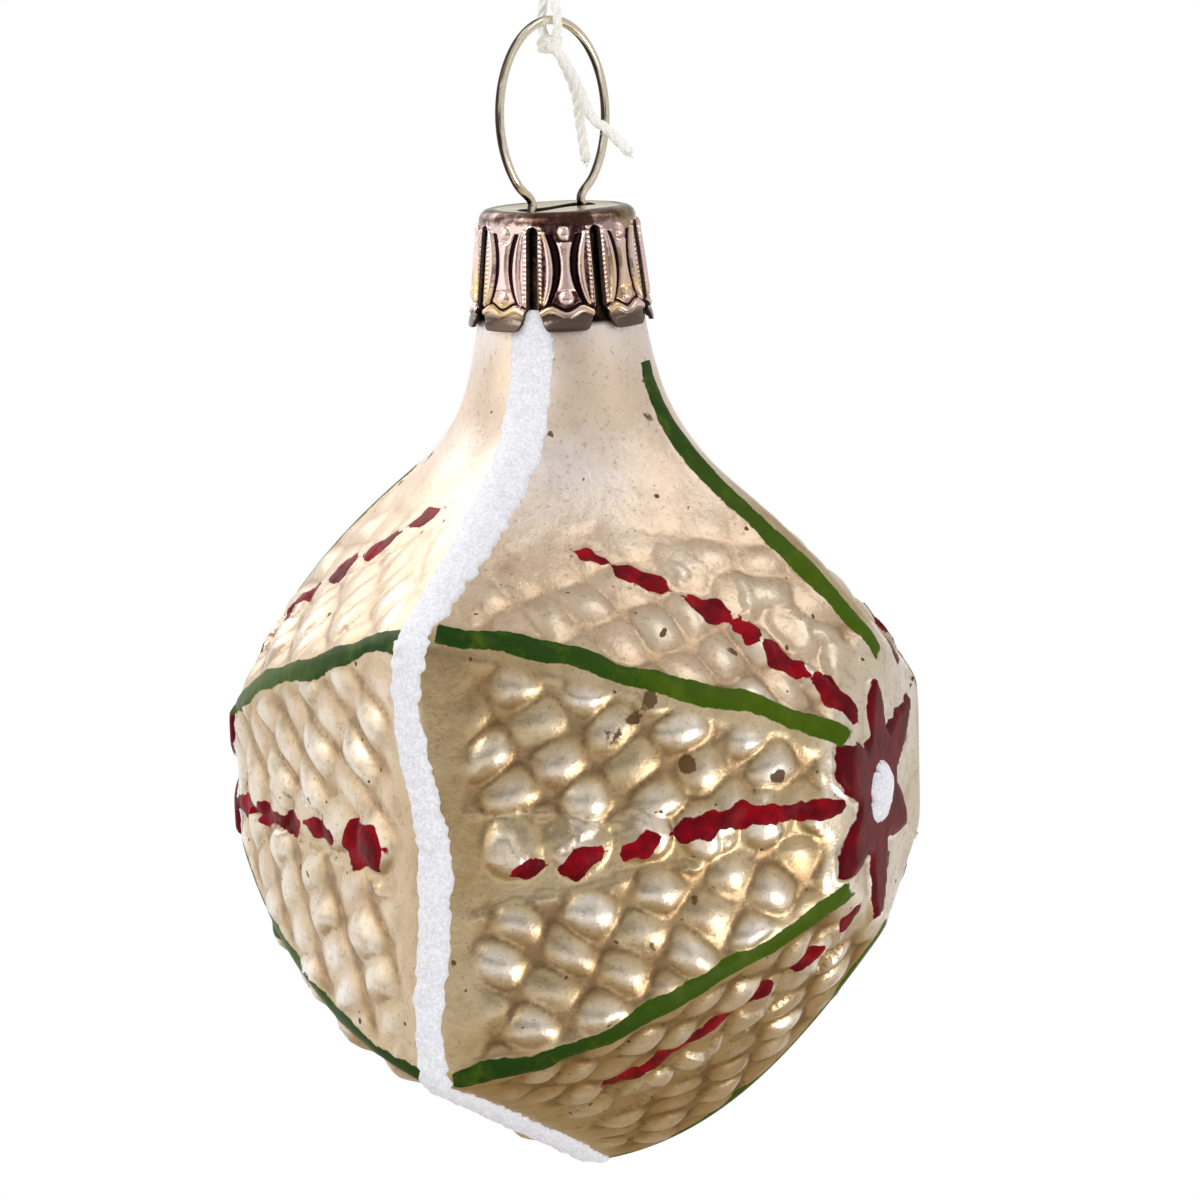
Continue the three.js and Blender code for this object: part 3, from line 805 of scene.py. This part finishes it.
def wire_piece():
    entry, wire_top, half = 35.55, 46.125, 4.725
    narrow = 2.3 / half
    rise = (wire_top - entry) / (1 + sqrt(1 - narrow ** 2))
    last = pi - asin(narrow)
    loop = [(half * sin(t), 0, wire_top - rise + rise * cos(t))
            for t in np.linspace(last, -last, 21)]
    leg = [(3, 0, 22.5), (3, 0, 27.05), (3, 0, 31.6), (2.3, 0, 34.75)]
    path = leg + loop + [(-x, y, z) for x, y, z in reversed(leg)]
    points, faces = tube(smooth_line(path, 300), WIRE / 2, 20)
    return piece("wire_loop", turned(points), faces, "wire", ["hanger"])


wire = wire_piece()


# Cotton thread

def twisted(line, radius, lay, seed=0, closed=False):
    """Plied thread along a line, each ply a rod that winds round the middle."""
    across, up = frames_along(line, closed)
    gone = gone_along(line)
    parts = []
    for k in range(PLIES):
        turn = gone * lay * 2 * pi + k * 2 * pi / PLIES + seed
        off = across * np.cos(turn)[:, None] + up * np.sin(turn)[:, None]
        parts.append(tube(line + off * radius * 0.46, radius * 0.56, 9, closed))
    return parts


def fuzz(line, radius, count, seed):
    """Stray fibres that stand off the thread."""
    rng = np.random.default_rng(seed)
    across, up = frames_along(line)
    parts = []
    for _ in range(count):
        i = rng.integers(1, len(line) - 2)
        a = rng.uniform(0, 2 * pi)
        out = across[i] * cos(a) + up[i] * sin(a)
        ahead = (line[i + 1] - line[i]) / np.linalg.norm(line[i + 1] - line[i]) * rng.uniform(-1, 1)
        start = line[i] + out * radius * 0.8
        reach = rng.uniform(0.25, 1) * FIBRE
        bend = rng.normal(0, 0.25, 3)
        steps = [start + (out * 0.35 * t + ahead * 0.8 * t + bend * t * t) * reach
                 for t in (0, 0.35, 0.7, 1)]
        parts.append(tube(smooth_line(steps, 8), np.linspace(0.018, 0.008, 8), 4))
    return parts


def thread_piece(name, parts, body, node):
    points, faces = joined(parts)
    return piece(name, turned(points), faces, body, [node])


def thread_pieces():
    half = [(0, y, z) for y, z in ((0.4, 48.925), (0.72, 53.425), (1.2, 60.175), (1.5, 65.425),
                                   (1.0607, 66.4857))]
    path = half + [(0, 0, 66.925)] + [(0, -y, z) for _, y, z in reversed(half)]
    line = smooth_line(path, 420)
    parts = twisted(line, THREAD / 2, THREAD_LAY) + fuzz(line, THREAD / 2, 70, 3)
    loop = thread_piece("thread_strands", parts, "thread", "thread_loop")

    t = np.linspace(0, 2 * pi, 60, endpoint=False)
    lump = np.stack([0.34 * (np.sin(t) + 2 * np.sin(2 * t)), 0.26 * (np.cos(t) - 2 * np.cos(2 * t)),
                     -0.42 * np.sin(3 * t)], 1) * 0.62 + KNOT
    side = ((0.3, 44.8), (0.6, 45.6), (0.62, 46.5), (0.36, 47.5), (0.3, 48.5))
    ring = [(0, y, z) for y, z in (*side, (0, 48.7))] + [(0, -y, z) for y, z in reversed(side)]
    eye = smooth_line(ring, 90)
    parts = twisted(lump, 0.33, 0.5, 1, closed=True) + twisted(eye, 0.29, THREAD_LAY, 2)
    knot = thread_piece("thread_knot_lump", parts + fuzz(eye, 0.29, 26, 5), "knot", "thread_knot")

    tails = []
    inner = [(0, 0, 0), (0.76, -0.29, -0.77), (1.7, -0.76, -2.82), (2.15, -0.8, -4.37),
             (2.39, -0.85, -5.68), (2.55, -0.99, -7.11)]
    outer = [(0, 0, 0), (-0.23, -0.76, -0.77), (0.87, -1.37, -2.64), (1.31, -1.91, -4.37),
             (1.5, -2.92, -5.26), (1.68, -4.17, -6.63)]
    for name, node, offsets, seed in (("thread_end_inner", "thread_tail_inner", inner, 7),
                                      ("thread_end_outer", "thread_tail_outer", outer, 9)):
        line = smooth_line(np.array(offsets) + turned(KNOT), 80)
        parts = twisted(line, THREAD / 2 * 1.05, THREAD_LAY, seed) + fuzz(line, THREAD / 2, 10, seed)
        end, way = line[-1], line[-1] - line[-6]
        way /= np.linalg.norm(way)
        rng = np.random.default_rng(seed)
        for _ in range(16):
            bend = rng.normal(0, 0.12, 3)
            steps = [end - way * 0.5, end + bend * 0.7, end + way * 0.15 + bend]
            parts.append(tube(smooth_line(steps, 8), np.linspace(0.08, 0.03, 8), 5))
        points, faces = joined(parts)
        tails.append(piece(name, points, faces, "knot", [node]))
    centre = row(turned(smooth_line(path, 60)))
    return [loop, knot, *tails]


threads = thread_pieces()


# Materials

def light(tone):
    """A node's colour, from three numbers as seen, 0 to 255, or from four as they are."""
    if len(tone) == 4:
        return tone
    shares = np.array(tone) / 255
    return (*np.where(shares <= 0.04045, shares / 12.92, ((shares + 0.055) / 1.055) ** 2.4), 1)


class Nodes:
    """Short ways to add and join nodes."""

    def __init__(self, tree):
        self.tree = tree

    def feed(self, node, inputs):
        """Links or sets the named inputs of a node."""
        for key, value in inputs.items():
            if isinstance(value, bpy.types.NodeSocket):
                self.tree.links.new(value, node.inputs[key])
            else:
                node.inputs[key].default_value = value

    def add(self, kind, inputs=(), **settings):
        node = self.tree.nodes.new(kind)
        for key, value in settings.items():
            setattr(node, key, value)
        self.feed(node, dict(inputs))
        return node

    def maths(self, operation, a, b=0.0, c=0.0):
        return self.add("ShaderNodeMath", {0: a, 1: b, 2: c}, operation=operation).outputs[0]

    def scaled(self, value, gain, lift):
        return self.maths("MULTIPLY_ADD", value, gain, lift)

    def mix(self, share, a, b):
        a, b = [tone if isinstance(tone, bpy.types.NodeSocket) else light(tone) for tone in (a, b)]
        return self.add("ShaderNodeMix", {0: share, 6: a, 7: b}, data_type="RGBA").outputs[2]

    def tint(self, color, tone, share, most):
        """A colour brought towards a tone where share is 1, by no more than most."""
        return self.mix(self.maths("MULTIPLY", share, most), color, tone)

    def ramp(self, value, low, high, a=0.0, b=1.0):
        return self.add("ShaderNodeMapRange", {0: value, 1: low, 2: high, 3: a, 4: b},
                        interpolation_type="SMOOTHSTEP").outputs[0]

    def noise(self, place, size, detail=2.0, rough=0.5):
        """Noise whose lumps are about size mm across."""
        return self.add("ShaderNodeTexNoise", {"Vector": place, "Scale": 1 / (size * MM), "Detail": detail,
                                               "Roughness": rough}).outputs[0]

    def layer(self, name):
        return self.add("ShaderNodeAttribute", attribute_name=name).outputs["Fac"]

    def up(self, place):
        return self.add("ShaderNodeSeparateXYZ", {0: place}).outputs["Z"]

    def distance(self, place, spot):
        return self.add("ShaderNodeVectorMath", {0: place, 1: spot}, operation="DISTANCE").outputs["Value"]

    def bump(self, strength, distance, height):
        """A surface roughened by a height, its distance in mm."""
        return self.add("ShaderNodeBump", {"Strength": strength, "Distance": distance * MM,
                                           "Height": height}).outputs[0]


def empty_nodes(owner):
    owner.use_nodes = True
    owner.node_tree.nodes.clear()
    return Nodes(owner.node_tree)


def material(name, look):
    """A material whose shader gets the inputs that look gives for a place."""
    made = bpy.data.materials.new(name)
    n = empty_nodes(made)
    shader = n.add("ShaderNodeBsdfPrincipled", look(n, n.add("ShaderNodeTexCoord").outputs["Object"]))
    n.add("ShaderNodeOutputMaterial", {0: shader.outputs[0]})
    return made


LUSTRE_SOCKETS = {"INPUT": ("Place", "Height", "Groove", "Pale", "Age"),
                  "OUTPUT": ("Color", "Metallic", "Roughness", "Bump")}
SOCKET_KINDS = {"Place": "NodeSocketVector", "Color": "NodeSocketColor"}


def lustre_group():
    """Gold lustre, silver on the crests as a painted highlight and brown in the grooves, partly browned
    lacquer and partly painted shade.
    """
    tree = bpy.data.node_groups.new("lustre", "ShaderNodeTree")
    for way, labels in LUSTRE_SOCKETS.items():
        for label in labels:
            kind = SOCKET_KINDS.get(label, "NodeSocketFloat")
            tree.interface.new_socket(label, in_out=way, socket_type=kind)
    n = Nodes(tree)
    i = n.add("NodeGroupInput").outputs
    place = i["Place"]
    up = n.up(place)
    broad = n.noise(place, 9, 3)
    fine = n.noise(place, 1.1, 4, 0.6)
    tiny = n.noise(place, 0.35, 3, 0.7)
    lift = n.maths("ADD", i["Height"], n.scaled(fine, 0.5, -0.25))
    # painted highlight: the crests of the bumps turn silver
    crest_highlight = n.ramp(lift, -0.1, 0.6)
    gold = n.mix(n.ramp(broad, 0.35, 0.65), (194, 168, 126), (216, 196, 160))
    # painted light: the gold is brought paler on the upper faces and the back half
    gold = n.tint(gold, (232, 208, 184), i["Pale"], 0.8)
    silver = n.mix(n.ramp(broad, 0.4, 0.7), (236, 222, 202), (255, 248, 242))
    color = n.mix(crest_highlight, gold, silver)
    # painted shade, with some real browning of the lacquer: the grooves are tinted brown
    brown = n.mix(n.ramp(n.noise(place, 1.3, 3), 0.42, 0.58), (168, 134, 94), (112, 76, 38))
    color = n.tint(color, brown, n.ramp(i["Groove"], 0.1, 0.8), 0.65)
    neck = n.ramp(up, height(15), height(22))
    color = n.mix(neck, color, n.mix(n.ramp(broad, 0.35, 0.65), (242, 222, 204), (255, 247, 246)))
    # painted shade: the glass is coloured near black where it runs up under the cap
    shade_under_cap = n.ramp(up, height(28.1), height(28.5))
    color = n.mix(shade_under_cap, color, (22, 14, 12))
    mottle = n.ramp(n.noise(place, 1.7, 5, 0.65), 0.47, 0.66)
    color = n.tint(color, (158, 128, 92), mottle, n.scaled(neck, -0.16, 0.28))
    color = n.tint(color, (150, 118, 78), n.ramp(tiny, 0.55, 0.72), 0.45)
    speck = n.maths("MAXIMUM", n.ramp(n.noise(place, 0.8, 1), 0.75, 0.79),
                    n.ramp(n.noise(place, 2.2, 3, 0.7), 0.72, 0.76))
    aged = n.maths("ADD", i["Age"], n.scaled(fine, 1.6, -0.8))
    speck = n.maths("MAXIMUM", speck, n.ramp(aged, 0.3, 0.5))
    dull = n.scaled(speck, 0.25, n.maths("MULTIPLY", neck, 0.1))
    n.add("NodeGroupOutput", {
        "Color": n.tint(color, (84, 54, 16), speck, 0.92),
        "Metallic": n.scaled(speck, -0.8, 1.0),
        "Roughness": n.maths("ADD", n.scaled(fine, 0.16, 0.22), dull),
        "Bump": n.maths("ADD", n.maths("MULTIPLY", fine, 0.6), n.maths("MULTIPLY", tiny, 0.25))})
    return tree


def glass_look(n, place):
    depth = n.layer("depth")
    # the boss is given crest height, so it takes the silver of the painted highlight too
    boss = n.maths("MULTIPLY", n.ramp(depth, 18.6, 19.8), 0.6)
    aged = n.add("ShaderNodeGroup", {
        "Place": place, "Height": n.maths("ADD", n.layer("bump_height"), boss), "Groove": n.layer("groove"),
        "Pale": n.layer("pale"), "Age": n.layer("age")}, node_tree=lustre_group()).outputs
    wobble = n.scaled(n.noise(place, 0.5, 2), 0.24, -0.12)
    red, green = [n.ramp(n.maths("ADD", n.layer(paint), wobble), -0.04, 0.05)
                  for paint in ("red_paint", "green_paint")]
    thick = n.noise(place, 1.6, 3, 0.6)
    red_tone = n.mix(n.ramp(thick, 0.35, 0.7), (92, 0, 12), (150, 0, 22))
    green_tone = n.mix(n.ramp(depth, 3, 18), (30, 60, 12), (64, 88, 0))
    green_tone = n.tint(green_tone, (84, 104, 16), n.ramp(thick, 0.45, 0.75), 0.6)
    red_tone = n.tint(red_tone, (72, 0, 14), n.ramp(depth, 19.0, 19.6), 0.6)
    paint = n.maths("MAXIMUM", red, green)
    bare = n.scaled(paint, -0.86, 0.86)
    return {
        "Base Color": n.mix(green, n.mix(red, aged["Color"], red_tone), green_tone),
        "Metallic": n.maths("MULTIPLY", bare, aged["Metallic"]),
        "Roughness": n.add("ShaderNodeMix", {0: paint, 2: aged["Roughness"], 3: 0.38}).outputs[0],
        "Specular IOR Level": 0.08, "Normal": n.bump(0.6, 0.12, aged["Bump"])}


def frosting_look(n, place):
    grit = n.noise(place, 0.2, 3, 0.7)
    patch = n.noise(place, 1.2, 2)
    color = n.mix(n.ramp(grit, 0.35, 0.65), (226, 226, 234), (250, 250, 254))
    color = n.tint(color, (236, 228, 220), n.ramp(patch, 0.55, 0.75), 0.4)
    return {"Base Color": color, "Roughness": 0.72, "Normal": n.bump(0.5, 0.15, grit)}


def cap_look(n, place):
    relief, edge = n.layer("relief"), n.layer("to_edge")
    up = n.up(place)
    broad = n.noise(place, 3.5, 3)
    fine = n.noise(place, 0.4, 4, 0.7)
    # painted shade: low places of the pressed pattern darken, as much as each tab's value says
    low = n.ramp(n.scaled(fine, 0.3, relief), 0.5, 0.2)
    # painted shade in the creases
    crease = n.ramp(relief, -0.05, -0.25)
    bright = n.mix(n.ramp(broad, 0.45, 0.65), (255, 228, 226), (246, 216, 168))
    dark = n.mix(n.ramp(fine, 0.45, 0.65), (72, 46, 48), (140, 104, 102))
    color = n.tint(bright, dark, low, n.layer("tarnish"))
    color = n.mix(crease, color, (46, 28, 30))
    top = CAP_FOOT + CAP_HEIGHT
    disc = n.ramp(up, height(top - 0.3), height(top - 0.15))
    color = n.tint(color, (238, 228, 202), disc, n.ramp(edge, 0.0, 0.25))
    ragged = n.maths("ADD", up, n.scaled(fine, 1.0 * MM, -0.5 * MM))
    rim = n.maths("MULTIPLY", n.ramp(ragged, height(top - 0.9), height(top - 0.55)), n.ramp(edge, 0.5, 0.2))
    worn = n.ramp(n.noise(place, 1.1, 4, 0.65), 0.62, 0.42, 0.45, 0.92)
    color = n.tint(color, (80, 54, 44), rim, worn)
    # painted shade: the cap's foot, where the lobes turn down, is greyed
    color = n.mix(n.ramp(up, height(CAP_FOOT + 1.2), height(CAP_FOOT + 0.7)), color, (112, 98, 90))
    rough = n.scaled(fine, 0.2, 0.12)
    return {"Base Color": color, "Metallic": 1.0, "Roughness": rough, "Normal": n.bump(0.3, 0.06, fine)}


# painted shade: the inside and cut edge of the cap sheet are coloured near black
def lining_look(n, place):
    fine = n.noise(place, 0.5, 3, 0.6)
    color = n.mix(n.ramp(fine, 0.3, 0.7), (34, 24, 20), (70, 50, 40))
    return {"Base Color": color, "Metallic": 0.6, "Roughness": 0.6}


# painted shade: the wire is darker on its side that faces this way
WIRE_SHADED_SIDE = (-0.373, 0.928, 0.1)


def wire_look(n, place):
    fine = n.noise(place, 0.3, 4, 0.7)
    broad = n.noise(place, 2.5, 2)
    outward = n.add("ShaderNodeNewGeometry").outputs["Normal"]
    side = n.add("ShaderNodeVectorMath", {0: outward, 1: WIRE_SHADED_SIDE},
                 operation="DOT_PRODUCT").outputs["Value"]
    # painted shade on one side of the wire, broken up by noise
    dark = n.ramp(n.maths("ADD", side, n.scaled(broad, 1.2, -0.6)), -0.1, 0.3)
    bare = n.mix(n.ramp(fine, 0.4, 0.7), (236, 228, 212), (252, 246, 232))
    color, rough = n.mix(dark, bare, (66, 54, 48)), n.scaled(fine, 0.16, 0.12)
    return {"Base Color": color, "Metallic": 1.0, "Roughness": rough, "Normal": n.bump(0.1, 0.03, fine)}


def cotton_look(n, place):
    fibre = n.noise(place, 0.14, 4, 0.7)
    patch = n.noise(place, 2.0, 2)
    color = n.mix(n.ramp(fibre, 0.35, 0.65), (248, 243, 232), (255, 255, 253))
    color = n.tint(color, (238, 222, 186), n.ramp(patch, 0.5, 0.75), 0.3)
    return {"Base Color": color, "Roughness": 0.85, "Sheen Weight": 0.3, "Normal": n.bump(0.6, 0.06, fibre)}


def dress(objects, *made):
    for obj in objects:
        for one in made:
            obj.data.materials.append(one)


dress([glass], material("painted gold glass", glass_look))
dress([frost, *spots], material("frosting grit", frosting_look))
dress([cap], material("pressed cap sheet", cap_look), material("tarnished inside of the cap", lining_look))
dress([wire], material("drawn steel wire", wire_look))
dress(threads, material("cotton thread", cotton_look))


# Floor, studio front, world and lamps

def stage_piece(name, points, faces):
    obj = mesh_object(name, points, faces)
    made = bpy.data.materials.new(name)
    obj.data.materials.append(made)
    n = empty_nodes(made)
    return n, n.add("ShaderNodeTexCoord").outputs["Object"], n.add("ShaderNodeLightPath").outputs


FLOOR = -0.4
WHITE = (1, 1, 1, 1)


def floor_piece():
    """A pale floor that fades to the white of the background away from the object."""
    size = 3.0
    corners = [(x * size, y * size, FLOOR) for x, y in ((-1, -1), (1, -1), (1, 1), (-1, 1))]
    n, place, path = stage_piece("floor", corners, [(0, 1, 2, 3)])
    away = n.distance(place, (0, 0, FLOOR))
    seen = n.maths("MAXIMUM", path["Is Camera Ray"], path["Is Glossy Ray"])
    share = n.maths("MULTIPLY", seen, n.ramp(away, 0.3, 0.65))
    table = n.mix(path["Is Glossy Ray"], (0.72, 0.7, 0.67, 1), (0.37, 0.27, 0.13, 1))
    plain = n.add("ShaderNodeBsdfDiffuse", {"Color": table}).outputs[0]
    white = n.add("ShaderNodeEmission", {"Color": WHITE, "Strength": 1.0}).outputs[0]
    both = n.add("ShaderNodeMixShader", {0: share, 1: plain, 2: white}).outputs[0]
    n.add("ShaderNodeOutputMaterial", {0: both})


def way_to(azimuth, elevation):
    a, e = radians(azimuth), radians(elevation)
    return Vector((sin(a) * cos(e), -cos(a) * cos(e), sin(e)))


# Soft boxes on the wall: azimuth, elevation, reach of their bright and dim parts in m, brightness
SOFT_BOXES = ((-131, 20, 0.38, 0.55, 1.2), (-8, 24, 0.14, 0.28, 0.9))
DARK_STRIP = (-46, -60, -74, -88, -100)  # azimuths of a dark strip at eye level


def studio_wall(name, azimuths, elevations):
    """A dim wall round the object that only its reflections show, with soft boxes and a dark strip."""
    radius, columns, rows = 0.8, 49, 25
    points = [tuple(CENTRE + way_to(a, e) * radius) for e in np.linspace(*elevations, rows)
              for a in np.linspace(*azimuths, columns)]
    n, place, path = stage_piece(name, points, grid_faces(rows, columns, around=False).tolist())

    def away_from(azimuth, elevation):
        return n.distance(place, tuple(CENTRE + way_to(azimuth, elevation) * radius))

    level = n.ramp(n.up(place), 0.0, 0.5, 0.62, 0.52)
    for azimuth, elevation, inner, outer, bright in SOFT_BOXES:
        level = n.maths("MAXIMUM", level, n.ramp(away_from(azimuth, elevation), outer, inner, 0.0, bright))
    near = away_from(DARK_STRIP[0], 1)
    for azimuth in DARK_STRIP[1:]:
        near = n.maths("MINIMUM", near, away_from(azimuth, 1))
    level = n.maths("MULTIPLY", level, n.ramp(near, 0.06, 0.16, 0.05, 1.0))
    tone = n.add("ShaderNodeCombineColor", {0: level, 1: n.maths("MULTIPLY", level, 0.95),
                                            2: n.maths("MULTIPLY", level, 0.86)}).outputs[0]
    tone = n.mix(path["Is Glossy Ray"], (0.8, 0.8, 0.8, 1), tone)
    dim = n.add("ShaderNodeEmission", {"Color": tone, "Strength": 1.0}).outputs[0]
    clear = n.add("ShaderNodeBsdfTransparent").outputs[0]
    both = n.add("ShaderNodeMixShader", {0: path["Is Camera Ray"], 1: dim, 2: clear}).outputs[0]
    n.add("ShaderNodeOutputMaterial", {0: both})


def set_world():
    world = bpy.data.worlds.new("studio")
    bpy.context.scene.world = world
    n = empty_nodes(world)
    path = n.add("ShaderNodeLightPath").outputs
    seen = n.maths("MAXIMUM", n.maths("MAXIMUM", path["Is Camera Ray"], path["Is Glossy Ray"]),
                   path["Is Transmission Ray"])
    lit, white = [n.add("ShaderNodeBackground", {"Color": WHITE, "Strength": strength}).outputs[0]
                  for strength in (0.7, 1.0)]
    both = n.add("ShaderNodeMixShader", {0: seen, 1: lit, 2: white}).outputs[0]
    n.add("ShaderNodeOutputWorld", {0: both})


def lamp(name, azimuth, elevation, distance, size, power):
    back = way_to(azimuth, elevation)
    data = bpy.data.lights.new(name, "AREA")
    data.shape = "SQUARE"
    data.size = size
    data.energy = power
    obj = placed(name, data)
    obj.location = CENTRE + back * distance
    obj.rotation_euler = (-back).to_track_quat("-Z", "Y").to_euler()


floor_piece()
studio_wall("studio_front", (-155, 90), (-22, 80))
studio_wall("studio_back", (90, 205), (8, 80))
set_world()
lamp("low window", -10, -30, 0.5, 0.2, 0.5)
lamp("left lamp", -118, 42, 0.65, 0.35, 1.2)
lamp("back lamp", 150, 30, 0.65, 0.4, 0.7)
lamp("right lamp", 22, 50, 0.65, 0.25, 0.25)

bpy.context.scene.view_settings.view_transform = "Standard"
